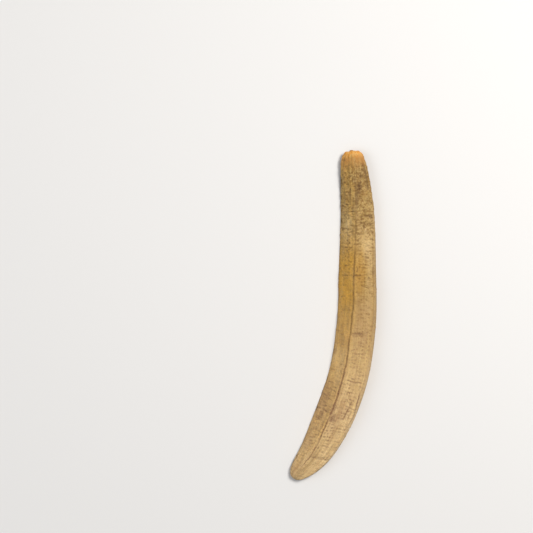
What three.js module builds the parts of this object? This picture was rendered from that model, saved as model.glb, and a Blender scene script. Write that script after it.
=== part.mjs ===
// A half of a peeled plantain, cut lengthwise and dried, lying on its cut face.
//
// Millimetres, +Z up. The surface it rests on is z = 0 and the origin is below the middle of its box.
// +Y runs along the fruit towards its narrower end, and +X points to the outside of its bend.
// Dried flesh keeps the angles of the fruit: flat to slightly sunken faces that meet in blunt ridges.

import * as THREE from 'three';
import { mergeVertices } from 'three/addons/utils/BufferGeometryUtils.js';

// ---- driving dimensions -------------------------------------------------------------------------

// Middle of the cut face, seen from above, from the narrow end to the blunt end.
const SPINE = [
  [9.7, 83.6],
  [12.6, 54.0],
  [12.7, 24.0],
  [12.0, -6.0],
  [6.7, -36.0],
  [-6.6, -67.0],
  [-20.4, -83.7],
];

const HALF_WIDTH = 10.3;
const CROWN_HEIGHT = 9.6;

// How the width falls away at each end: reach along the fruit, and the powers that shape the fall.
const NARROW_END = { reach: 137, fall: 2, bluntness: 0.2 };
const BLUNT_END = { reach: 46, fall: 1.8, bluntness: 0.41 };
const THINNING = 1.5; // the height falls away faster than the width, by this power

// Ridges, as angles in the cross-section: 0 is the rim on the outside of the bend, 180 the other rim.
// The first ridge lies below the cut, so the face beside that rim is only partly there.
const RIDGE_ANGLES = [-24, 48.5, 108.5, 180];
const FACE_SINK = 0.145; // how far the middle of a face lies inside the circle of the ridges
const RIDGE_ROUNDING = 1.25; // 1 leaves the ridges sharp

// The two upper ridges keep their angles at this share of the length, and drift towards the outside of
// the bend on both sides of it, by these degrees times the square of the share gone.
const DRIFT = { middle: 0.6, degrees: 50 };

// The ends curl up a little off the surface. The stretch between them rests flat.
const NARROW_CURL = { height: 2.4, reach: 46 };
const BLUNT_CURL = { height: 1.6, reach: 34 };

// The cut face: a flat rim along both sides, and a shallow trough between them with a low line of seed
// flesh down its middle. The trough is shallower where the fruit is narrow.
const RIM_BAND = 1.5;
const TROUGH_DEPTH = 1.4;
const TROUGH_SLOPE = 0.18; // depth for each millimetre of the trough's half width, where it is narrow
const SEED_LINE = { height: 0.5, width: 0.2 };

// Slow swells left by uneven drying: height in mm, waves along the fruit, waves around it, and offset.
const SWELLS = [
  { height: 0.26, along: 3.1, around: 1.0, offset: 0.6 },
  { height: 0.18, along: 5.3, around: 2.0, offset: 2.4 },
  { height: 0.12, along: 8.7, around: 3.0, offset: 4.1 },
];

// ---- mesh density -------------------------------------------------------------------------------

const SKIN_COLUMNS = 26;
const CUT_COLUMNS = 10;
const ROWS = 72;
const END_CROWDING = 0.85; // 0 spaces the rows evenly, 1 crowds them right into the ends
const WELD = 1e-4; // the sphere's seam and poles are welded within this distance

// ---- the form -----------------------------------------------------------------------------------

const spine = new THREE.CatmullRomCurve3(
  SPINE.map(([x, y]) => new THREE.Vector3(x, y, 0)),
  false,
  'catmullrom',
);
const LENGTH = spine.getLength();
const UP = new THREE.Vector3(0, 0, 1);

// 0 at the very end of the fruit, 1 from `reach` onwards, with a blunt nose.
function taper(distance, { reach, fall, bluntness }) {
  const left = THREE.MathUtils.clamp(1 - distance / reach, 0, 1);
  return (1 - left ** fall) ** bluntness;
}

function curl(distance, { height, reach }) {
  const left = THREE.MathUtils.clamp(1 - distance / reach, 0, 1);
  return height * left * left;
}

// Distance from the middle of the section to the skin, where the ridges are at 1.
function skinRadius(angle, share) {
  const drift = DRIFT.degrees * (share - DRIFT.middle) ** 2;
  const ridges = RIDGE_ANGLES.map((ridge) => (ridge > 0 && ridge < 180 ? ridge - drift : ridge));
  const upper = ridges.findIndex((ridge) => angle <= ridge);
  const half = (ridges[upper] - ridges[upper - 1]) / 2;
  const across = (angle - ridges[upper] + half) / half;
  return 1 - FACE_SINK * (1 - across * across) ** RIDGE_ROUNDING;
}

function swell(share, angle) {
  let sum = 0;
  for (const { height, along, around, offset } of SWELLS) {
    const turn = THREE.MathUtils.degToRad(angle) * around;
    sum += height * Math.sin(Math.PI * 2 * along * share + offset) * Math.cos(turn + offset);
  }
  return sum;
}

// The two rims of the cut face, as shares of the half width to the right of the middle.
const OUTER_RIM = skinRadius(0, DRIFT.middle);
const INNER_RIM = -1;
const RIM_MIDDLE = (OUTER_RIM + INNER_RIM) / 2;
const RIM_REACH = (OUTER_RIM - INNER_RIM) / 2;

// One point of the skin side: [to the right of the spine, up].
function skinPoint(share, angle, halfWidth, height, fullness) {
  const turn = THREE.MathUtils.degToRad(angle);
  const swollen = (swell(share, angle) * fullness * Math.sin(turn)) / HALF_WIDTH;
  const radius = skinRadius(angle, share) + swollen;
  const right = (radius * Math.cos(turn) - RIM_MIDDLE) / RIM_REACH;
  return [right * halfWidth, radius * Math.sin(turn) * height];
}

// One point of the cut face. Step 1 is the trough's edge below the outer rim, and the last but one step
// is its other edge.
function cutPoint(step, halfWidth) {
  const inside = Math.max(halfWidth - RIM_BAND, halfWidth / 2);
  const across = 1 - (2 * (step - 1)) / (CUT_COLUMNS - 2);
  const depth = Math.min(TROUGH_DEPTH, inside * TROUGH_SLOPE);
  const seeds = Math.min(SEED_LINE.height, depth / 2) * Math.exp(-((across / SEED_LINE.width) ** 2));
  return [across * inside, (depth - seeds) * (1 - across * across)];
}

// ---- from a sphere to the fruit -----------------------------------------------------------------

// A sphere with its poles at the two ends is laid over the form: its columns run along the fruit.
function plantainGeometry() {
  const columns = SKIN_COLUMNS + CUT_COLUMNS;
  const sphere = new THREE.SphereGeometry(1, columns, ROWS);
  const position = sphere.attributes.position;
  const uv = sphere.attributes.uv;

  for (let index = 0; index < position.count; index += 1) {
    const column = Math.round(uv.getX(index) * columns) % columns;
    const row = (1 - uv.getY(index)) * ROWS;
    const even = row / ROWS;
    const share = even - (END_CROWDING * Math.sin(2 * Math.PI * even)) / (2 * Math.PI);

    const distance = share * LENGTH;
    const fullness = taper(distance, NARROW_END) * taper(LENGTH - distance, BLUNT_END);
    const halfWidth = HALF_WIDTH * fullness;
    const height = CROWN_HEIGHT * fullness ** THINNING;

    let right;
    let up;
    if (column <= SKIN_COLUMNS) {
      const angle = 180 * (1 - column / SKIN_COLUMNS);
      [right, up] = skinPoint(share, angle, halfWidth, height, fullness);
    } else {
      [right, up] = cutPoint(column - SKIN_COLUMNS, halfWidth);
    }

    const centre = spine.getPointAt(share);
    const towardsEnd = spine.getTangentAt(share);
    const sideways = new THREE.Vector3().crossVectors(UP, towardsEnd);
    const lift = curl(distance, NARROW_CURL) + curl(LENGTH - distance, BLUNT_CURL);
    position.setXYZ(
      index,
      centre.x + sideways.x * right,
      centre.y + sideways.y * right,
      up + lift,
    );
  }

  sphere.deleteAttribute('normal');
  sphere.deleteAttribute('uv');
  const fruit = mergeVertices(sphere, WELD);
  fruit.computeBoundingBox();
  const middle = fruit.boundingBox.getCenter(new THREE.Vector3());
  fruit.translate(-middle.x, -middle.y, 0);
  fruit.computeVertexNormals();
  return fruit;
}

// ---- the object ---------------------------------------------------------------------------------

const driedFlesh = new THREE.MeshStandardMaterial({ color: '#c39a5c', roughness: 0.62, metalness: 0 });

const plantainHalf = new THREE.Mesh(plantainGeometry(), driedFlesh);
plantainHalf.name = 'plantain_half';

const part = new THREE.Group();
part.add(plantainHalf);

export default part;
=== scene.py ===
"""A dried plantain half, lying on its cut face: the fine surface, its material, a studio and the camera.

Blender works in metres. The form and its detail are in millimetres, as in the part's own source, and MM
turns them into metres. Along is the distance from the narrow end, measured on the middle of the cut face.
Around is the distance round the skin side of the full section, from the rim on the outside of the bend.
Across is the place between the two rims: 1 on the outside of the bend, -1 on the inside.
"""

import math

import bpy
import numpy as np
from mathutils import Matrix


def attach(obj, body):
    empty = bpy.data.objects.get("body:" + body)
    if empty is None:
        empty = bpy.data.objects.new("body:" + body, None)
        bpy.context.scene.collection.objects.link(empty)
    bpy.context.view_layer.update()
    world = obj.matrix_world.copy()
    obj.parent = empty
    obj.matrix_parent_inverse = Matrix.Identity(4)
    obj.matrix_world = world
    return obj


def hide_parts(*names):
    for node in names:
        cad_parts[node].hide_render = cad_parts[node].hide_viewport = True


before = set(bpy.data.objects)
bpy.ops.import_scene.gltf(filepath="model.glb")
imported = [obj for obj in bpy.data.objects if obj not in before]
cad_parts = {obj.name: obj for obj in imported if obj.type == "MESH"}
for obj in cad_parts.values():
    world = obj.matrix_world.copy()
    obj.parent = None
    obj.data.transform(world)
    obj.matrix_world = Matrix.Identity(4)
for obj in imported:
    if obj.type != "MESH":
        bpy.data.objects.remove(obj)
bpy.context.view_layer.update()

MM = 0.001
TURN = 2 * math.pi
NODE = "plantain_half"

# ---- the form, as in the part's source (mm and degrees) -------------------------------------------

SPINE = [
    (9.7, 83.6),
    (12.6, 54.0),
    (12.7, 24.0),
    (12.0, -6.0),
    (6.7, -36.0),
    (-6.6, -67.0),
    (-20.4, -83.7),
]
HALF_WIDTH = 10.3
CROWN_HEIGHT = 9.6
NARROW_END = dict(reach=137, fall=2, bluntness=0.2)
BLUNT_END = dict(reach=46, fall=1.8, bluntness=0.41)
THINNING = 1.5
RIDGE_ANGLES = [-24, 48.5, 108.5, 180]
OUTER_RIDGE, SEAM_RIDGE = RIDGE_ANGLES[1:3]
DRIFT_MIDDLE, DRIFT_DEGREES = 0.6, 50
FACE_SINK = 0.145
RIDGE_ROUNDING = 1.25
NARROW_CURL = dict(height=2.4, reach=46)
BLUNT_CURL = dict(height=1.6, reach=34)
RIM_BAND = 1.5
TROUGH_DEPTH = 1.4
TROUGH_SLOPE = 0.18
SEED_LINE_HEIGHT, SEED_LINE_WIDTH = 0.5, 0.2
SWELLS = [  # height, waves along, waves around, offset
    (0.26, 3.1, 1.0, 0.6),
    (0.18, 5.3, 2.0, 2.4),
    (0.12, 8.7, 3.0, 4.1),
]

# ---- mesh density: under 200,000 triangles --------------------------------------------------------

RINGS = 700
SKIN_COLUMNS = 118
CUT_COLUMNS = 20
COLUMNS = SKIN_COLUMNS + CUT_COLUMNS


# ---- noise ----------------------------------------------------------------------------------------

LATTICE = 256


def noise(x, y, seed):
    """Smooth noise, about -1 to 1, with swells about one unit wide. The same seed gives the same noise."""
    angle = np.random.default_rng(seed).uniform(0, TURN, (LATTICE, LATTICE))
    lean_x, lean_y = np.cos(angle), np.sin(angle)
    x, y = np.broadcast_arrays(x, y)
    column, row = np.floor(x).astype(int), np.floor(y).astype(int)
    x, y = x - column, y - row

    def corner(right, up):
        place = (column + right) % LATTICE, (row + up) % LATTICE
        return lean_x[place] * (x - right) + lean_y[place] * (y - up)

    fade_x, fade_y = (t**3 * (t * (6 * t - 15) + 10) for t in (x, y))
    low = corner(0, 0) * (1 - fade_x) + corner(1, 0) * fade_x
    high = corner(0, 1) * (1 - fade_x) + corner(1, 1) * fade_x
    return 1.5 * (low * (1 - fade_y) + high * fade_y)


def smooth(start, end, x):
    """0 at start, 1 at end, eased."""
    t = np.clip((x - start) / (end - start), 0, 1)
    return t * t * (3 - 2 * t)


def hump(x, width):
    return np.exp(-((x / width) ** 2))


# ---- the plain form -------------------------------------------------------------------------------


def spine_points(steps=400):
    """A uniform Catmull-Rom curve through SPINE, with the ends carried on in a straight line."""
    knots = np.array(SPINE)
    knots = np.vstack([2 * knots[0] - knots[1], knots, 2 * knots[-1] - knots[-2]])
    t = np.linspace(0, 1, steps, endpoint=False)[:, None]
    spans = []
    for a, b, c, d in zip(knots, knots[1:], knots[2:], knots[3:]):
        bend = t**2 * (2 * a - 5 * b + 4 * c - d) + t**3 * (3 * b - a - 3 * c + d)
        spans.append(b + (t * (c - a) + bend) / 2)
    return np.vstack([*spans, knots[-2:-1]])


def distances(points):
    return np.concatenate([[0], np.cumsum(np.linalg.norm(np.diff(points, axis=0), axis=1))])


SPINE_POINTS = spine_points()
SPINE_ALONG = distances(SPINE_POINTS)
LENGTH = SPINE_ALONG[-1]


def on_spine(along):
    """The point of the spine at a distance along it, and the unit vector to its right."""
    point = np.stack([np.interp(along, SPINE_ALONG, axis) for axis in SPINE_POINTS.T], -1)
    slope = np.gradient(SPINE_POINTS, SPINE_ALONG, axis=0)
    towards = np.stack([np.interp(along, SPINE_ALONG, axis) for axis in slope.T], -1)
    towards /= np.linalg.norm(towards, axis=-1, keepdims=True)
    return point, np.stack([-towards[..., 1], towards[..., 0]], -1)


def taper(distance, reach, fall, bluntness):
    left = np.clip(1 - distance / reach, 0, 1)
    return (1 - left**fall) ** bluntness


def curl(distance, height, reach):
    return height * np.clip(1 - distance / reach, 0, 1) ** 2


def fullness(along):
    return taper(along, **NARROW_END) * taper(LENGTH - along, **BLUNT_END)


def drift(share):
    return DRIFT_DEGREES * (share - DRIFT_MIDDLE) ** 2


def skin_radius(angle, share):
    turned = drift(share)
    edges = [RIDGE_ANGLES[0], OUTER_RIDGE - turned, SEAM_RIDGE - turned, RIDGE_ANGLES[3]]
    across = np.zeros(np.broadcast(angle, share).shape)
    for low, high in zip(edges, edges[1:]):
        here = (2 * angle - low - high) / (high - low)
        across = np.where((angle > low) & (angle <= high), here, across)
    return 1 - FACE_SINK * np.clip(1 - across**2, 0, 1) ** RIDGE_ROUNDING


def swell(share, angle):
    total = 0
    for height, waves_along, waves_around, offset in SWELLS:
        along = np.sin(TURN * waves_along * share + offset)
        total = total + height * along * np.cos(np.radians(angle) * waves_around + offset)
    return total


OUTER_RIM = float(skin_radius(0.0, DRIFT_MIDDLE))
RIM_MIDDLE = (OUTER_RIM - 1) / 2
RIM_REACH = (OUTER_RIM + 1) / 2


def skin_section(along, angle):
    """Millimetres to the right of the spine and up, on the skin side."""
    share, full = along / LENGTH, fullness(along)
    turn = np.radians(angle)
    radius = skin_radius(angle, share) + swell(share, angle) * full * np.sin(turn) / HALF_WIDTH
    right = (radius * np.cos(turn) - RIM_MIDDLE) / RIM_REACH
    return right * HALF_WIDTH * full, radius * np.sin(turn) * CROWN_HEIGHT * full**THINNING


def cut_section(along, across):
    """The same on the cut face, where across runs from 1 to -1 over the trough between the rims."""
    half_width = HALF_WIDTH * fullness(along)
    inside = np.maximum(half_width - RIM_BAND, half_width / 2)
    depth = np.minimum(TROUGH_DEPTH, inside * TROUGH_SLOPE)
    seeds = np.minimum(SEED_LINE_HEIGHT, depth / 2) * hump(across, SEED_LINE_WIDTH)
    return across * inside, (depth - seeds) * (1 - across**2)


# ---- the grid: rings along the fruit, columns around it --------------------------------------------


def ring_distances():
    """Where each ring lies along the fruit, even along the surface, so close together on the ends."""
    near = np.geomspace(1e-9, LENGTH / 2, 4000)
    along = np.concatenate([[0], near, (LENGTH - near[::-1])[1:], [LENGTH]])
    travelled = distances(np.stack([along, HALF_WIDTH * fullness(along)], -1))
    return np.interp(np.linspace(0, travelled[-1], RINGS + 2)[1:-1], travelled, along)


def skin_columns():
    """The angle of each column of the skin side, and how far round it lies, in mm on the full section."""
    angle = np.linspace(0, 180, 2000)
    middle = np.full_like(angle, DRIFT_MIDDLE * LENGTH)
    travelled = distances(np.stack(skin_section(middle, angle), -1))
    around = np.linspace(travelled[-1], 0, SKIN_COLUMNS + 1)
    return np.interp(around, travelled, angle), around


def around_at(angle):
    column_angle, around = skin_columns()
    return float(np.interp(angle, column_angle[::-1], around[::-1]))


SEAM_AROUND = around_at(SEAM_RIDGE)
OUTER_AROUND = around_at(OUTER_RIDGE)
SKIN_AROUND = around_at(180)


def plain_grid():
    """Points of the plain form, and where each lies: along, around the skin in mm, across from -1 to 1."""
    along = ring_distances()[:, None]
    share = along / LENGTH
    base_angle, around = skin_columns()
    # Columns follow the ridges as these drift, and stay put at the rims.
    with_ridges = np.interp(base_angle, [0, OUTER_RIDGE, SEAM_RIDGE, 180], [0, 1, 1, 0])
    skin_right, skin_up = skin_section(along, base_angle - drift(share) * with_ridges)

    across_trough = np.linspace(1, -1, CUT_COLUMNS - 1)
    cut_right, cut_up = cut_section(along, across_trough)

    right = np.hstack([skin_right, cut_right])
    up = np.hstack([skin_up, cut_up])
    around = np.concatenate([around, np.linspace(0, -SKIN_AROUND, CUT_COLUMNS + 1)[1:-1]])
    cut = np.concatenate([np.zeros(SKIN_COLUMNS + 1), np.ones(CUT_COLUMNS - 1)])

    place, sideways = on_spine(along[:, 0])
    lift = curl(along, **NARROW_CURL) + curl(LENGTH - along, **BLUNT_CURL)
    plan = place[:, None, :] + sideways[:, None, :] * right[..., None]
    points = np.concatenate([plan, (up + lift)[..., None]], -1)
    across = right / (HALF_WIDTH * fullness(along))
    return points, np.broadcast_to(along, right.shape), np.broadcast_to(around, right.shape), across, cut


def outward(points):
    """Unit normals of the grid."""
    down_the_fruit = np.gradient(points, axis=0)
    round_it = np.roll(points, -1, axis=1) - np.roll(points, 1, axis=1)
    normal = np.cross(down_the_fruit, round_it)
    return normal / np.maximum(np.linalg.norm(normal, axis=-1, keepdims=True), 1e-12)


# ---- fine relief and markings of the skin side ----------------------------------------------------

# Fine strands run along the fruit and short creases lie between them, in loose rows: a net, in mm.
STRAND_PITCH = 1.5
ROW_PITCH = 1.8
NET_SCATTER = 0.5  # how far a knot of the net may lie from its place, as a share of the pitch
KNOT_REACH = 0.58  # how far a knot reaches along the fruit

# How deep each kind of mark lies where it is darkest, and how high the lips of the seam stand, in mm.
WRINKLE_DEPTH = 0.22
CREASE_DEPTH = 0.20
RUNG_DEPTH = 0.06
SEAM_DEPTH = 0.28
FINE_SEAM_DEPTH = 0.18
STAIN_DEPTH = 0.06
LIP_HEIGHT = 0.10

# Longer creases across the fruit: the two ends (along in mm, across in shares of the half width),
# darkness, and width in mm.
LONG_CREASES = [
    ((16.5, 0.10), (16.5, 0.36), 0.95, 0.55),
    ((18.1, 0.06), (18.1, 0.38), 1.20, 0.70),
    ((19.8, 0.03), (19.7, 0.34), 1.20, 0.65),
    ((21.6, 0.00), (21.4, 0.32), 0.95, 0.55),
    ((24.8, 0.04), (24.5, 0.30), 0.75, 0.50),
    ((13.3, 0.28), (13.2, 0.56), 0.75, 0.50),
    ((33.8, -0.03), (33.4, 0.48), 0.70, 0.45),
    ((33.4, 0.42), (34.1, 0.84), 0.76, 0.50),
    ((36.8, 0.08), (38.4, 0.44), 0.50, 0.40),
    ((38.4, 0.42), (36.4, 0.76), 0.58, 0.40),
    ((42.9, -0.10), (42.4, 0.33), 0.78, 0.42),
    ((53.8, 0.24), (55.1, 0.60), 0.42, 0.34),
    ((58.8, -0.76), (58.8, -0.54), 0.60, 0.34),
    ((63.6, -0.28), (63.8, 0.16), 1.00, 0.42),
    ((63.8, 0.14), (63.1, 0.50), 0.50, 0.34),
    ((63.6, -0.98), (63.6, -0.30), 0.45, 0.34),
    ((68.9, 0.18), (70.3, 0.54), 0.85, 0.32),
    ((93.6, -0.20), (93.3, 0.06), 0.65, 0.38),
    ((93.4, 0.02), (93.1, 0.34), 0.85, 0.46),
    ((117.5, -0.05), (117.6, 0.30), 0.90, 0.34),
    ((117.6, 0.24), (117.1, 0.70), 0.80, 0.30),
    ((136.8, -1.04), (136.3, -0.80), 0.90, 0.40),
    ((136.3, -0.66), (136.6, -0.44), 0.60, 0.45),
    ((160.9, -0.04), (156.9, 0.78), 0.66, 0.36),
    ((160.6, 0.18), (157.5, 0.88), 0.78, 0.36),
    ((163.0, 0.10), (161.0, 0.90), 0.35, 0.34),
]

# Finer seams along the fruit: darkness, width, and the places they run through (along, across).
FINE_SEAMS = [
    (0.85, 0.50, [(5.0, 0.72), (8.1, 0.79), (15.8, 0.77), (20.5, 0.76)]),
    (1.00, 0.38, [(121.5, 0.74), (125.1, 0.78), (128.0, 0.80), (131.3, 0.84), (133.5, 0.87)]),
    (0.60, 0.36, [(133.0, 0.87), (137.0, 0.80), (142.0, 0.76)]),
    (0.85, 0.36, [(127.0, 0.49), (129.2, 0.47), (132.4, 0.45), (137.0, 0.43)]),
    (0.55, 0.34, [(132.0, 0.66), (136.5, 0.62)]),
    (0.35, 0.34, [(34.0, 0.78), (66.0, 0.80), (96.0, 0.79)]),
]

# Soft dark patches: along, across, reach along in mm, reach across in shares of the half width, darkness.
STAINS = [
    (12.5, 0.76, 6.0, 0.15, 0.50),
    (13.5, 0.42, 2.4, 0.10, 0.60),
    (19.2, 0.20, 3.6, 0.10, 0.80),
    (22.0, -0.02, 6.5, 0.16, 0.65),
    (33.6, 0.72, 1.4, 0.16, 0.80),
    (36.8, 0.12, 1.6, 0.10, 0.60),
    (54.6, 0.44, 0.7, 0.14, 0.50),
    (60.5, -0.03, 0.9, 0.05, 1.00),
    (61.6, 0.80, 2.2, 0.08, 0.60),
    (64.9, 0.57, 0.6, 0.05, 0.80),
    (74.5, -0.80, 0.7, 0.06, 0.70),
    (93.4, 0.10, 1.1, 0.34, 0.40),
    (104.0, -0.95, 1.8, 0.10, 0.55),
    (138.6, -0.08, 2.4, 0.17, 1.00),
    (133.6, -0.24, 3.6, 0.12, 0.70),
    (136.0, -0.58, 0.9, 0.14, 0.55),
    (139.0, -0.64, 0.8, 0.10, 0.55),
    (141.2, -0.78, 0.8, 0.12, 0.70),
    (155.2, -0.08, 0.7, 0.05, 0.90),
    (167.0, -0.90, 0.9, 0.09, 0.90),
]

# Broad soft changes of tone: along, across, reach along and across as above, then how much paler and how
# much more golden it is there, where negative is browner and greyer. Most rows are the flesh's own tone;
# the row at 49 mm paints a highlight, the row at 40 mm is partly a painted highlight, and the row at 173 mm
# paints shade along the outline.
TONES_AND_PAINTED_LIGHT = [
    (14.0, 0.80, 8.0, 0.30, -0.16, 0.00),
    (19.5, 0.16, 6.0, 0.24, -0.36, 0.00),
    # Partly paler flesh, partly a painted highlight.
    (40.0, -0.62, 9.0, 0.40, 0.28, 0.00),
    # A painted highlight.
    (49.0, 0.50, 9.0, 0.55, 0.32, 0.00),
    (36.0, 0.84, 7.0, 0.24, 0.20, 0.00),
    (58.0, -0.62, 11.0, 0.42, 0.00, 0.42),
    (64.0, 0.10, 11.0, 0.32, -0.42, 0.46),
    (67.0, 0.50, 13.0, 0.28, 0.16, 0.00),
    (86.0, 0.12, 14.0, 0.32, -0.26, -0.28),
    (84.0, 0.56, 14.0, 0.30, -0.06, -0.30),
    (98.0, -0.64, 3.4, 0.26, -0.22, 0.10),
    (117.0, -0.48, 9.0, 0.26, 0.18, 0.00),
    (105.5, -0.74, 8.0, 0.36, 0.22, 0.12),
    (137.0, 0.14, 13.0, 0.30, -0.42, 0.00),
    (131.0, -0.84, 11.0, 0.32, -0.42, -0.10),
    (156.0, -0.86, 7.0, 0.28, -0.26, 0.00),
    # Painted shade along the outline at the blunt end.
    (173.0, -0.60, 5.0, 0.50, -0.30, 0.00),
]


def leaning(along, across):
    """Distance along the fruit for the rows across it, which lean over near the blunt end."""
    return along + 0.36 * smooth(128, 156, along) * across * HALF_WIDTH * fullness(along)


def tones(along, around, across):
    """How much paler and how much more golden the skin side is made, from -1 to 1, painted highlights and
    painted shade included.
    """
    ragged = 0.30 * noise(along / 7, around / 3.5, 61) + 0.15 * noise(along / 2.5, around / 1.6, 62)
    all_paler, all_golden = 0, 0
    for place, side, reach_along, reach_across, paler, golden in TONES_AND_PAINTED_LIGHT:
        away = np.hypot((along - place) / reach_along, (across - side) / reach_across)
        here = hump(away + ragged, 1.0)
        all_paler = all_paler + here * paler
        all_golden = all_golden + here * golden
    return np.clip(all_paler, -1, 1), np.clip(all_golden, -1, 1)


def net(along, around, across):
    """Where each point lies in the net, in pitches, and how dense, long and dark its creases are there."""
    towards_blunt = smooth(100, 126, along) * (1 - 0.7 * smooth(156, 168, along))
    patches = noise(around / 5, along / 9, 13)
    wander = 0.7 * noise(around / 9, along / 24, 11) + 0.10 * noise(around / 2, along / 6, 31)
    warp = 0.7 * noise(around / 12, along / 14, 14) + 0.15 * noise(around / 1.6, along / 3, 15)
    pitted = 0.6 * smooth(102, 120, along) * (1 - smooth(149, 156, along)) + 0.5 * hump(along - 146, 6)
    pitted = pitted * hump(across - 0.18, 0.42)
    inner_face = smooth(-0.22, -0.42, across)
    ribbed = inner_face * smooth(118, 134, along) * (1 - smooth(163, 170, along))
    narrow = 1 - smooth(44, 66, along)
    middle = smooth(64, 76, along) * (1 - smooth(108, 122, along))
    outer = smooth(-0.24, -0.04, across) * smooth(48, 62, along) * (1 - smooth(102, 118, along))
    density = 0.42 + 0.14 * towards_blunt + 0.40 * patches + 0.45 * pitted - 0.24 * ribbed + 0.14 * narrow
    density = density + 0.12 * outer
    length = 0.66 + 0.25 * noise(around / 6, along / 12, 32) + 0.65 * ribbed + 0.12 * narrow + 0.14 * middle
    dark = 0.58 + 0.32 * pitted + 0.25 * patches + 0.18 * narrow - 0.20 * middle + 0.14 * outer
    lines = (0.25 + 0.75 * towards_blunt) * smooth(-0.3, 0.5, noise(around / 2.1, along / 17, 12))
    rows = (leaning(along, across) + warp) / ROW_PITCH
    strands = (around - SEAM_AROUND) * (1 - 0.14 * towards_blunt) + wander
    place = np.stack([strands / STRAND_PITCH, rows, lines], -1)
    return place, np.stack([density, np.maximum(length, 0.2), dark], -1)


def wrinkles(along, around, across):
    """How dark the crooked wrinkles and shallow pits are, which lie mostly near the narrow end."""
    towards_narrow = 1 - smooth(34, 58, along)
    bend = 0.6 * noise(around / 4, along / 5, 33)
    crooked = np.abs(noise(around / 4.2, along / 1.7 + bend, 34))
    crooked = smooth(0.15, 0.02, crooked) * smooth(-0.15, 0.35, noise(around / 3.4, along / 4.5, 35))
    crooked = crooked * (0.08 + 0.26 * towards_narrow + 0.25 * smooth(152, 164, along))
    dashes = smooth(0.05, 0.50, noise(around / 2.4, along / 1.1 + bend, 55))
    dashes = dashes * smooth(-0.25, 0.30, noise(around / 4, along / 6, 56))
    near_rim = smooth(0.45, 0.85, across) * hump(along - 12, 9)
    dashes = dashes * towards_narrow * (0.76 + 0.5 * near_rim)
    return np.clip(np.maximum(crooked, dashes), 0, 1)


def long_creases(along, across):
    """How dark the creases of LONG_CREASES are, each a little crooked and broken."""
    darkest = np.zeros(across.shape)
    for (place, start), (end_place, end), strength, width in LONG_CREASES:
        waver = 0.16 * noise(across * 4.1 + place, place, 18)
        broken = 0.85 + 0.4 * noise(across * 7.3 + place, -place, 36)
        inside = smooth(start - 0.06, start + 0.06, across) * (1 - smooth(end - 0.06, end + 0.06, across))
        away = along - np.interp(across, (start, end), (place, end_place)) + waver
        shape = hump(away, width * (0.8 + 0.3 * broken)) * inside * np.minimum(broken, 1)
        darkest = np.maximum(darkest, strength * shape)
    return darkest


def main_seam(along, around):
    """How dark the seam between the two main faces is, and how far the lips beside it stand up."""
    away = around - SEAM_AROUND - 0.35 * hump(along - 105, 50)
    away = away + 0.30 * noise(along / 13, 0.5, 19) + 0.24 * noise(along / 2.9, 3.5, 20)
    strength = 0.86 + 0.20 * noise(along / 15, 7.5, 21) + 0.34 * noise(along / 2.2, 1.5, 22)
    strength = np.clip(strength * smooth(2, 26, along) * (1 - smooth(163, 171, along)), 0, 1)
    # It is fainter near the narrow end, and nearly stops at the darkest patch.
    strength = strength * (0.55 + 0.45 * smooth(38, 66, along)) * (1 - 0.6 * hump(along - 138.4, 2.2))
    width = 0.58 - 0.16 * smooth(128, 148, along) + 0.12 * noise(along / 5, 9.5, 37)
    width = width + 0.22 * (1 - smooth(56, 84, along))
    return hump(away, width) * strength, hump(np.abs(away) - 1.15, 0.5) * strength


def fine_seams(along, around, across):
    """How dark the finer seams are: the one on the outer ridge, and those of FINE_SEAMS."""
    away = around - OUTER_AROUND + 0.25 * noise(along / 11, 0.5, 23)
    strength = 0.28 * (1 - smooth(118, 122, along)) * (0.75 + 0.7 * noise(along / 2.0, 5.5, 24))
    darkest = hump(away, 0.36) * np.clip(strength, 0, 1) * smooth(20, 40, along)
    for strength, width, course in FINE_SEAMS:
        stops, sides = np.array(course).T
        first, last = stops[0], stops[-1]
        away = (across - np.interp(along, stops, sides)) * HALF_WIDTH * fullness(along)
        away = away + 0.12 * noise(along / 1.8, first, 54)
        inside = smooth(first - 1, first + 1, along) * (1 - smooth(last - 1, last + 1, along))
        broken = np.clip(1.1 + 0.7 * noise(along / 2.3, first, 38), 0, 1)
        darkest = np.maximum(darkest, strength * hump(away, width) * inside * broken)
    return darkest


def rungs(along, around, across):
    """How dark the soft rungs across the inner face are."""
    uneven = noise(around / 5.5, leaning(along, across) / 0.95, 63)
    uneven = uneven + 0.20 * noise(around / 1.3, along / 0.7, 64)
    inner_face = smooth(-1.0, -0.84, across) * smooth(-0.30, -0.42, across)
    return smooth(0.06, 0.55, uneven) * inner_face * smooth(110, 126, along) * (1 - smooth(164, 170, along))


def stains(along, around, across):
    """How dark the patches of STAINS are, with ragged edges."""
    ragged = 0.5 * noise(along / 1.4, around / 1.4, 25) + 0.25 * noise(along / 0.6, around / 0.6, 39)
    darkest = np.zeros(across.shape)
    for place, side, reach_along, reach_across, strength in STAINS:
        away = np.hypot((along - place) / reach_along, (across - side) / reach_across)
        darkest = np.maximum(darkest, strength * smooth(1.4, 0.3, away + ragged))
    return darkest


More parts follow.
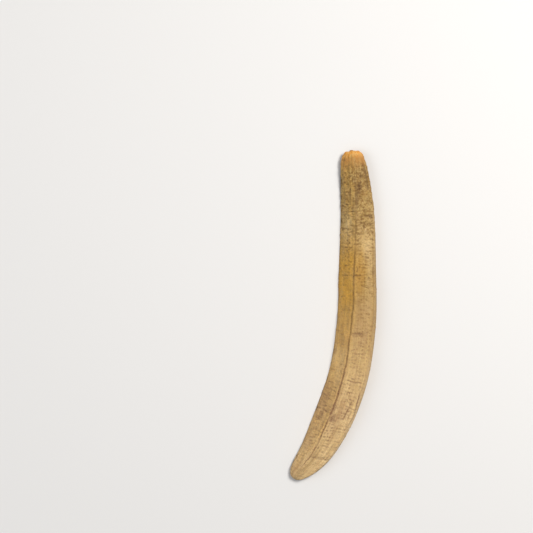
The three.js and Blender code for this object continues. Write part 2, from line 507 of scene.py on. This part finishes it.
def skin_detail(along, around, across):
    """Relief in mm, and how dark the wrinkles, the seams and the stains are, from 0 to 1."""
    wrinkle = wrinkles(along, around, across)
    long_crease = long_creases(along, across)
    rung = rungs(along, around, across)
    seam, lips = main_seam(along, around)
    fine_seam = fine_seams(along, around, across)
    stain = stains(along, around, across)

    lumps = 0.24 * noise(around / 5, along / 12, 26) + 0.14 * noise(around / 2.8, along / 4.6, 27)
    shrinkage = 0.10 + 0.22 * (1 - smooth(34, 58, along))
    shrunk = shrinkage * noise(around / 2.2, along / 2.6, 40)
    ripples = 0.06 * noise(around / 3.2, along / 0.9, 28) * (1 + smooth(0.8, 1, np.abs(across)))
    relief = lumps + shrunk + ripples + LIP_HEIGHT * lips
    relief = relief - WRINKLE_DEPTH * wrinkle - CREASE_DEPTH * long_crease - RUNG_DEPTH * rung
    relief = relief - SEAM_DEPTH * seam - FINE_SEAM_DEPTH * fine_seam - STAIN_DEPTH * stain
    # The crease darkness drives colour as well as dents: partly browned flesh, partly painted shade.
    crease = np.maximum(np.maximum(0.95 * wrinkle, 0.42 * rung), long_crease)
    return relief, crease, np.maximum(seam, fine_seam), stain


def cut_detail(along, across):
    """Relief in mm of the cut face, and its dark: painted shade in the hollows of its folds and strands,
    and its dark seed line.
    """
    folds = noise(across * 2.6, along / 45, 46)
    strands = noise(across * 8, along / 18, 41)
    fine = noise(across * 20, along / 10, 42)
    wrinkles = noise(across * 2.2, along / 2.4, 43)
    seeds_row = hump(across - 0.05 * noise(along / 8, 0.5, 44), 0.10)
    inner = 1 - smooth(0.78, 0.92, np.abs(across))
    relief = (0.26 * folds + 0.14 * strands + 0.06 * fine + 0.09 * wrinkles - 0.10 * seeds_row) * inner
    # Darker where the folds and strands sink: painted shade; the seed line is dark flesh.
    dark = 0.45 * smooth(0.05, -0.55, strands) + 0.30 * smooth(0.0, -0.5, folds) + 0.22 * seeds_row
    return relief, np.clip(dark * inner, 0, 1)


def end_relief(points, along):
    """The snapped narrow tip and the dried blunt end are uneven and a little fibrous."""
    x, z = points[..., 0], points[..., 2]
    torn = 0.42 * noise(x / 2.6, z / 2.6, 51) + 0.22 * noise(x / 0.9, z / 0.9, 52)
    dried = 0.22 * noise(x / 2.4, z / 2.4, 53)
    narrow = 1 - smooth(0.40, 0.50, fullness(along) + np.where(along > LENGTH / 2, 1, 0))
    blunt = 1 - smooth(0.35, 0.60, fullness(along) + np.where(along < LENGTH / 2, 1, 0))
    sunken = narrow * (1 - smooth(0.10, 0.34, fullness(along)))
    return (torn - 0.5 * sunken) * narrow + dried * blunt, sunken


def detailed_grid():
    points, along, around, across, cut = plain_grid()
    normal = outward(points)
    relief, crease, seam, stain = skin_detail(along, around, across)
    cut_relief, cut_shade_and_seeds = cut_detail(along, across)
    relief = np.where(cut > 0.5, cut_relief, relief)
    crease = np.where(cut > 0.5, cut_shade_and_seeds, crease)
    seam = np.where(cut > 0.5, 0, seam)
    stain = np.where(cut > 0.5, 0, stain)

    # The detail fades on the ends, where the columns run together, and gives way to theirs.
    uneven, sunken = end_relief(points, along)
    relief = relief * smooth(0.25, 0.6, fullness(along)) + uneven
    points = points + normal * relief[..., None]
    points[..., 2] = np.maximum(points[..., 2], 0)
    place, strength = net(along, around, across)
    vectors = dict(place=np.stack([around, along, across], -1), net=place, net_strength=strength)
    numbers = dict(crease=crease, seam=seam, stain=stain, sunken=sunken)
    numbers["cut"] = np.broadcast_to(cut, along.shape)
    numbers["paler"], numbers["golden"] = tones(along, around, across)
    return points, vectors, numbers


# ---- the mesh -------------------------------------------------------------------------------------


def pole(ring):
    return ring.mean(axis=0, keepdims=True)


def fruit_mesh():
    points, vectors, numbers = detailed_grid()
    plain_points = plain_grid()[0]
    middle = (plain_points[..., :2].max(axis=(0, 1)) + plain_points[..., :2].min(axis=(0, 1))) / 2
    points[..., :2] -= middle

    def flat(grid):
        rows = grid.reshape(RINGS * COLUMNS, -1)
        return np.vstack([pole(grid[0].reshape(COLUMNS, -1)), rows, pole(grid[-1].reshape(COLUMNS, -1))])

    ring, column = np.mgrid[0 : RINGS - 1, 0:COLUMNS]
    here = 1 + ring * COLUMNS + column
    beside = 1 + ring * COLUMNS + (column + 1) % COLUMNS
    quads = np.stack([here, here + COLUMNS, beside + COLUMNS, beside], -1).reshape(-1, 4)
    first, last = 0, RINGS * COLUMNS + 1
    around = np.arange(COLUMNS)
    after = (around + 1) % COLUMNS
    last_ring = 1 + (RINGS - 1) * COLUMNS
    narrow_fan = np.stack([np.full(COLUMNS, first), 1 + around, 1 + after], -1)
    blunt_fan = np.stack([np.full(COLUMNS, last), last_ring + after, last_ring + around], -1)

    mesh = bpy.data.meshes.new("plantain_flesh")
    faces = quads.tolist() + narrow_fan.tolist() + blunt_fan.tolist()
    mesh.from_pydata((flat(points) * MM).tolist(), [], faces)
    mesh.polygons.foreach_set("use_smooth", np.ones(len(faces), bool))

    for name, field in vectors.items():
        stored = mesh.attributes.new(name, "FLOAT_VECTOR", "POINT")
        stored.data.foreach_set("vector", flat(field).astype(np.float32).ravel())
    for name, field in numbers.items():
        stored = mesh.attributes.new(name, "FLOAT", "POINT")
        stored.data.foreach_set("value", flat(field).astype(np.float32).ravel())
    mesh.validate()
    mesh.update()
    return mesh


# ---- materials ------------------------------------------------------------------------------------


def linear(red, green, blue):
    """A colour given as 0 to 255 in sRGB, as Blender's linear RGBA."""
    parts = [c / 255 for c in (red, green, blue)]
    return [p / 12.92 if p <= 0.04045 else ((p + 0.055) / 1.055) ** 2.4 for p in parts] + [1.0]


# The colours of the skin side, then those of its marks, of the cut face and of the narrow tip.
GOLD = linear(222, 177, 100)
DEEP_GOLD = linear(218, 164, 58)
# Tan of the outer faces: partly the flesh's own, partly a painted reflection that pales it.
TAN_AND_PAINTED_REFLECTION = linear(190, 156, 93)
# Pale flesh, used partly as a painted highlight.
PALE_AND_PAINTED_HIGHLIGHT = linear(246, 214, 156)
OLIVE = linear(196, 167, 104)
OCHRE = linear(182, 142, 62)
SANDY = linear(198, 166, 120)
BRONZE = linear(142, 101, 36)
CLAY = linear(150, 108, 72)
BROWN = linear(104, 71, 24)
COCOA = linear(122, 86, 62)
UMBER = linear(118, 80, 22)
TAUPE = linear(126, 86, 60)
WALNUT = linear(102, 72, 36)
PLUM = linear(112, 70, 48)
SEAM_OLIVE = linear(112, 82, 38)
SEAM_BROWN = linear(110, 68, 44)
DARK = linear(84, 52, 22)
AMBER = linear(190, 128, 58)
HONEY = linear(224, 172, 96)
RIM_GOLD = linear(226, 184, 118)
ORANGE = linear(232, 156, 52)
PEACH = linear(236, 186, 108)
HONEYED = linear(186, 130, 60)
PALE_FLOOR = linear(224, 223, 222)


class Shader:
    """A material's node tree, with the few kinds of node that are needed here."""

    def __init__(self, name):
        self.material = bpy.data.materials.new(name)
        self.material.use_nodes = True
        self.tree = self.material.node_tree
        self.surface = self.tree.nodes["Principled BSDF"]

    def node(self, kind, **settings):
        made = self.tree.nodes.new(kind)
        for key, value in settings.items():
            setattr(made, key, value)
        return made

    def put(self, socket, value):
        if isinstance(value, bpy.types.NodeSocket):
            self.tree.links.new(value, socket)
        else:
            socket.default_value = value

    def finish(self, **values):
        """Sets the surface's own sockets, named as in Blender with _ for each space."""
        for name, value in values.items():
            self.put(self.surface.inputs[name.replace("_", " ")], value)
        return self.material

    def attribute(self, name, vector=False):
        found = self.node("ShaderNodeAttribute", attribute_name=name)
        return found.outputs["Vector" if vector else "Fac"]

    def split(self, vector):
        made = self.node("ShaderNodeSeparateXYZ")
        self.put(made.inputs[0], vector)
        return made.outputs

    def vector_math(self, operation, a, b):
        made = self.node("ShaderNodeVectorMath", operation=operation)
        self.put(made.inputs[0], a)
        self.put(made.inputs[1], b)
        return made.outputs[0]

    def math(self, operation, a, b=0.0, clamp=False):
        made = self.node("ShaderNodeMath", operation=operation, use_clamp=clamp)
        self.put(made.inputs[0], a)
        self.put(made.inputs[1], b)
        return made.outputs[0]

    def times(self, a, b, clamp=False):
        return self.math("MULTIPLY", a, b, clamp)

    def minus(self, a, b):
        return self.math("SUBTRACT", a, b)

    def size(self, value):
        return self.math("ABSOLUTE", value)

    def squared(self, value, unit):
        share = self.math("DIVIDE", value, unit)
        return self.times(share, share)

    def between(self, value, low, high, start=0.0, end=1.0):
        """Eased from start, where the value is low, to end, where it is high."""
        made = self.node("ShaderNodeMapRange", interpolation_type="SMOOTHSTEP")
        for socket, setting in zip(made.inputs[:5], (value, low, high, start, end)):
            self.put(socket, setting)
        return made.outputs[0]

    def share(self, value, start, end):
        """Eased from start, where the value is 0, to end, where it is 1."""
        return self.between(value, 0.0, 1.0, start, end)

    def noise(self, vector, detail, scale=1.0):
        made = self.node("ShaderNodeTexNoise", noise_dimensions="3D")
        self.put(made.inputs["Vector"], vector)
        self.put(made.inputs["Scale"], scale)
        self.put(made.inputs["Detail"], detail)
        return made.outputs

    def mix(self, factor, a, b):
        made = self.node("ShaderNodeMix", data_type="RGBA")
        self.put(made.inputs["Factor"], factor)
        self.put(made.inputs[6], a)
        self.put(made.inputs[7], b)
        return made.outputs[2]

    def lay(self, colour, over, amount, share):
        """The colour with another laid over it, by an amount from 0 to 1 times a share."""
        return self.mix(self.times(amount, share), colour, over)

    def bump(self, height, depth, strength, under=None):
        """A bump as deep as the height times the depth in mm."""
        made = self.node("ShaderNodeBump")
        self.put(made.inputs["Height"], height)
        self.put(made.inputs["Distance"], depth * MM)
        self.put(made.inputs["Strength"], strength)
        if under is not None:
            self.put(made.inputs["Normal"], under)
        return made.outputs[0]


class Flesh(Shader):
    """Golden-brown dried flesh: the skin side with its strands and creases, and the smoother cut face."""

    def __init__(self):
        super().__init__("dried_plantain_flesh")
        self.place = self.attribute("place", vector=True)
        self.around, self.along, self.across = self.split(self.place)
        self.from_middle = self.size(self.across)
        self.cut = self.attribute("cut")
        self.outer_faces = self.between(self.around, SEAM_AROUND + 2.0, SEAM_AROUND - 2.5)
        self.narrow_half = self.between(self.along, 92.0, 40.0)
        self.blunt_half = self.between(self.along, 70.0, 108.0)
        self.patches = self.swells((0.22, 0.09, 1.0), 4.0, 0.3, 0.7)
        self.grit = self.swells((2.2, 2.8, 1.0), 3.0, 0.25, 0.75)
        self.grain = self.swells((3.0, 2.4, 1.0), 4.0, 0.2, 0.8)
        self.ragged = self.share(self.grit, 0.60, 1.20)

        # The browns are more yellow in the narrow half, and greyer in the blunt half.
        self.reddish = self.mix(self.blunt_half, BRONZE, CLAY)
        self.brownish = self.mix(self.blunt_half, BROWN, COCOA)

    def swells(self, scale, detail, low, high):
        """Noise with swells 1/scale mm wide, drawn out between low and high to the range 0 to 1."""
        uneven = self.noise(self.vector_math("MULTIPLY", self.place, scale), detail)
        return self.between(uneven["Fac"], low, high)

    def ground(self):
        """Golden on the inner face, tan on the others, paler at the blunt end, olive at the narrow one; the
        tan and the paler blunt end are partly flesh, partly painted reflection and highlight.
        """
        warm = self.times(self.between(self.along, 104.0, 66.0), self.share(self.patches, 1.0, 0.55))
        # Tan outer faces: partly the flesh's tan, partly a painted reflection.
        colour = self.mix(self.outer_faces, self.mix(warm, GOLD, DEEP_GOLD), TAN_AND_PAINTED_REFLECTION)
        # Paler outer faces towards the blunt end: partly paler flesh, partly a painted highlight.
        pale_and_painted_highlight = self.times(self.between(self.along, 85.0, 138.0), self.share(self.patches, 0.54, 0.84))
        inner_share = self.between(self.along, 140.0, 166.0, 0.34, 0.95)
        colour = self.lay(colour, PALE_AND_PAINTED_HIGHLIGHT, pale_and_painted_highlight, self.share(self.outer_faces, inner_share, 1.0))
        olive = self.between(self.along, 66.0, 26.0)
        return self.lay(colour, OLIVE, olive, self.share(self.patches, 1.0, 0.45))

    def mottled(self, colour):
        """Broad soft patches, then bands and strands along the fruit, and a weave of small marks."""
        yellowed = self.swells((0.24, 0.15, 1.7), 3.0, 0.50, 0.72)
        greyed = self.swells((0.20, 0.12, 2.9), 3.0, 0.52, 0.74)
        blotches = self.swells((0.36, 0.24, 1.0), 4.0, 0.50, 0.76)
        blotching = self.between(self.along, 100.0, 135.0, 0.46, 0.28)
        mottles = self.swells((0.58, 0.95, 1.0), 4.0, 0.47, 0.63)
        mottling = self.times(self.narrow_half, self.share(self.outer_faces, 0.46, 0.70))
        bands = self.swells((0.95, 0.055, 1.0), 3.0, 0.40, 0.62)
        strands = self.swells((1.9, 0.09, 1.0), 4.0, 0.34, 0.66)
        weave = self.swells((0.8, 1.7, 1.0), 3.0, 0.52, 0.68)
        colour = self.lay(colour, OCHRE, yellowed, self.share(self.blunt_half, 0.42, 0.16))
        colour = self.lay(colour, SANDY, greyed, self.share(self.blunt_half, 0.40, 0.18))
        colour = self.lay(colour, self.reddish, blotches, blotching)
        colour = self.lay(colour, UMBER, mottles, mottling)
        colour = self.lay(colour, self.reddish, bands, 0.20)
        colour = self.lay(colour, self.reddish, strands, self.share(self.narrow_half, 0.26, 0.38))
        return self.lay(colour, self.brownish, weave, self.share(self.narrow_half, 0.22, 0.54))

    def toned(self, colour):
        """The broad changes of tone from the tones table, with the painted highlights and painted shade
        among them.
        """
        golden, paler = self.attribute("golden"), self.attribute("paler")
        for amount, more, less in ((golden, DEEP_GOLD, SANDY), (paler, PALE_AND_PAINTED_HIGHLIGHT, self.reddish)):
            colour = self.mix(self.math("MAXIMUM", amount, 0.0), colour, more)
            colour = self.mix(self.times(amount, -1.0, clamp=True), colour, less)
        return colour

    def net_knots(self, place):
        """Short creases at the knots of a scattered net, each with its own darkness and length."""
        knots = self.node("ShaderNodeTexVoronoi", voronoi_dimensions="2D", feature="F1")
        self.put(knots.inputs["Vector"], place)
        self.put(knots.inputs["Scale"], 1.0)
        self.put(knots.inputs["Randomness"], NET_SCATTER)
        away = self.vector_math("SUBTRACT", place, knots.outputs["Position"])
        away = self.vector_math("MULTIPLY", away, (STRAND_PITCH, ROW_PITCH, 0.0))
        sideways, lengthways, _ = self.split(away)
        chance_there, chance_long, chance_dark = self.split(knots.outputs["Color"])
        density, length, dark = self.split(self.attribute("net_strength", vector=True))
        length = self.times(length, self.share(chance_long, 0.6, 1.4))
        away = self.math("ADD", self.squared(sideways, length), self.squared(lengthways, KNOT_REACH))
        shape = self.between(self.math("SQRT", away), 1.25, 0.35)
        there = self.between(self.minus(density, chance_there), -0.04, 0.04)
        dark = self.times(dark, self.share(chance_dark, 0.5, 1.0))
        return self.times(self.times(shape, there), dark, clamp=True)

    def net_line(self, pitches, width):
        """Lines through the knots: 1 on a line and 0 away from it, width being a share of the pitch."""
        shifted = self.math("ADD", pitches, 0.5 - NET_SCATTER / 2)
        away = self.size(self.minus(self.math("FRACT", shifted), 0.5))
        return self.between(away, width, 0.0)

    def net(self):
        """How dark the net is, partly browned flesh and partly painted shade in its dents: its knots and
        the lines through them, with crumbled edges.
        """
        crumble = self.noise(self.place, 2.0, 1.7)["Color"]
        shift = self.vector_math("SUBTRACT", crumble, (0.5, 0.5, 0.5))
        shift = self.vector_math("MULTIPLY", shift, (0.40, 0.26, 0.0))
        place = self.vector_math("ADD", self.attribute("net", vector=True), shift)
        across, along, strength = self.split(place)
        lengthways = self.times(self.net_line(across, 0.24), 0.50)
        crossways = self.times(self.net_line(along, 0.22), 0.38)
        lines = self.times(self.math("MAXIMUM", lengthways, crossways), strength)
        dark = self.math("MAXIMUM", self.net_knots(place), lines)
        return self.times(dark, self.ragged, clamp=True)

    def marked(self, colour, net):
        """The net, then the stains, creases, seams and specks, and a brown band along the thin edges; the
        net, creases and band are partly browned flesh, partly painted shade.
        """
        names = ("crease", "seam", "stain")
        crease, seam, stain = (self.times(self.attribute(name), self.ragged, clamp=True) for name in names)
        # The net's darkness: partly browned flesh, partly painted shade in its small dents.
        net_colour = self.mix(self.blunt_half, UMBER, TAUPE)
        colour = self.lay(colour, net_colour, net, self.between(self.along, 90.0, 125.0, 0.86, 0.78))
        colour = self.lay(colour, self.mix(self.blunt_half, WALNUT, PLUM), stain, 0.72)
        # Darker in the creases: partly browned flesh, partly painted shade in their dents.
        colour = self.lay(colour, self.brownish, crease, 0.90)
        colour = self.mix(self.between(crease, 0.45, 1.0, 0.0, 0.55), colour, DARK)
        seam_colour = self.mix(self.between(self.along, 85.0, 125.0), SEAM_OLIVE, SEAM_BROWN)
        colour = self.lay(colour, seam_colour, seam, 0.92)
        colour = self.lay(colour, DARK, self.swells((2.4, 2.2, 1.0), 1.0, 0.66, 0.74), 0.55)
        # A brown band along the thin edges: partly dried flesh, partly painted shade at the outline.
        edge_browning_and_shade = self.between(self.from_middle, 0.88, 1.0)
        return self.lay(colour, BROWN, edge_browning_and_shade, self.share(self.grit, 0.05, 0.35))

    def cut_face(self):
        """Smoother and more orange, with lengthwise bands, paler edges and two rows of small dark seeds."""
        colour = self.mix(self.swells((0.5, 0.045, 1.0), 4.0, 0.3, 0.7), AMBER, HONEY)
        colour = self.mix(self.between(self.from_middle, 0.78, 0.92, 0.0, 0.7), colour, RIM_GOLD)
        # Browner in the hollows of the folds and strands, painted shade, and along the seed line.
        colour = self.lay(colour, BROWN, self.attribute("crease"), 0.8)
        wobble = self.minus(self.swells((0.0, 0.13, 0.0), 1.0, 0.0, 1.0), 0.5)
        from_middle = self.size(self.math("ADD", self.across, self.times(wobble, 0.2)))
        in_rows = self.between(self.size(self.minus(from_middle, 0.07)), 0.055, 0.0)
        seeds = self.swells((0.0, 0.85, 7.0), 1.0, 0.52, 0.60)
        return self.lay(colour, DARK, self.times(seeds, in_rows), 0.85)

    def tipped(self, colour):
        """The narrow tip, where the fruit was snapped off its stalk: bright flesh around a brown core."""
        near = self.between(self.along, 11.0, 3.0)
        colour = self.lay(colour, HONEYED, near, self.share(self.patches, 0.3, 0.9))
        bright = self.mix(self.swells((0.7, 0.8, 1.0), 3.0, 0.4, 0.65), ORANGE, PEACH)
        torn = self.between(self.along, 4.6, 0.8)
        colour = self.lay(colour, bright, torn, self.between(self.grit, 0.1, 0.7, 0.25, 1.0))
        return self.lay(colour, BROWN, self.attribute("sunken"), 0.7)

    def bumps(self, net):
        """Fibres, the net, cracks and grain, where the cut face is smoother."""
        fibres = self.swells((4.2, 0.5, 1.0), 3.0, 0.2, 0.8)
        cracks = self.swells((1.0, 3.2, 1.0), 3.0, 0.3, 0.7)
        normal = self.bump(fibres, 0.12, 0.6)
        normal = self.bump(self.times(net, self.minus(1.0, self.cut)), -0.18, 0.7, under=normal)
        normal = self.bump(self.times(cracks, self.share(self.cut, 1.0, 0.3)), 0.16, 0.6, under=normal)
        return self.bump(self.grain, 0.12, 0.6, under=normal)


def dried_flesh():
    s = Flesh()
    net = s.net()
    skin = s.marked(s.toned(s.mottled(s.ground())), net)
    return s.finish(
        Base_Color=s.tipped(s.mix(s.cut, skin, s.cut_face())),
        Roughness=s.minus(s.share(s.grain, 0.46, 0.66), s.times(s.cut, 0.10)),
        Normal=s.bumps(net),
        Specular_IOR_Level=0.4,
        Subsurface_Weight=0.06,
        Subsurface_Radius=(1.0, 0.55, 0.25),
        Subsurface_Scale=0.0012,
    )


def plain(name, colour, roughness):
    return Shader(name).finish(Base_Color=colour, Roughness=roughness)


# ---- the piece ------------------------------------------------------------------------------------

plantain = bpy.data.objects.new("plantain_flesh", fruit_mesh())
bpy.context.scene.collection.objects.link(plantain)
plantain.data.materials.append(dried_flesh())
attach(plantain, "root")
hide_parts(NODE)

# ---- studio and camera ----------------------------------------------------------------------------

IMAGE_SIDE = 533
MM_PER_PIXEL = 0.513
ORIGIN_PIXEL = (333.4, 315.4)  # where the part's origin lies in the picture
LENS, SENSOR = 120.0, 36.0
FLOOR_SIDE = 4.0
FLOOR_GAP = 0.00002  # keeps the floor from showing through the rim that rests on it
WORLD_STRENGTH = 0.34

floor_mesh = bpy.data.meshes.new("floor")
reach = FLOOR_SIDE / 2
corners = [(-reach, -reach), (reach, -reach), (reach, reach), (-reach, reach)]
floor_mesh.from_pydata([(x, y, -FLOOR_GAP) for x, y in corners], [], [(0, 1, 2, 3)])
floor = bpy.data.objects.new("floor", floor_mesh)
bpy.context.scene.collection.objects.link(floor)
floor.data.materials.append(plain("pale_floor", PALE_FLOOR, roughness=0.9))


def area_light(name, place, side, watts, colour):
    light = bpy.data.lights.new(name, "AREA")
    light.shape = "DISK"
    light.size = side
    light.energy = watts
    light.color = colour
    lamp = bpy.data.objects.new(name, light)
    bpy.context.scene.collection.objects.link(lamp)
    lamp.location = place
    direction = -lamp.location
    lamp.rotation_euler = direction.to_track_quat("-Z", "Y").to_euler()


area_light("key", place=(0.50, 0.38, 0.74), side=0.4, watts=8.8, colour=(1.0, 0.97, 0.93))
area_light("fill", place=(-0.8, -0.1, 0.7), side=0.9, watts=3.6, colour=(0.96, 0.98, 1.0))

world = bpy.data.worlds.new("studio")
world.use_nodes = True
background = world.node_tree.nodes["Background"]
background.inputs["Color"].default_value = (1.0, 1.0, 1.0, 1.0)
background.inputs["Strength"].default_value = WORLD_STRENGTH
bpy.context.scene.world = world

frame_width = IMAGE_SIDE * MM_PER_PIXEL * MM
camera_data = bpy.data.cameras.new("camera")
camera_data.lens = LENS
camera_data.sensor_width = SENSOR
camera = bpy.data.objects.new("camera", camera_data)
bpy.context.scene.collection.objects.link(camera)
camera.location = (
    (IMAGE_SIDE / 2 - ORIGIN_PIXEL[0]) * MM_PER_PIXEL * MM,
    (ORIGIN_PIXEL[1] - IMAGE_SIDE / 2) * MM_PER_PIXEL * MM,
    frame_width * LENS / SENSOR,
)
camera.rotation_euler = (0, 0, 0)
bpy.context.scene.camera = camera
bpy.context.scene.view_settings.view_transform = "Standard"
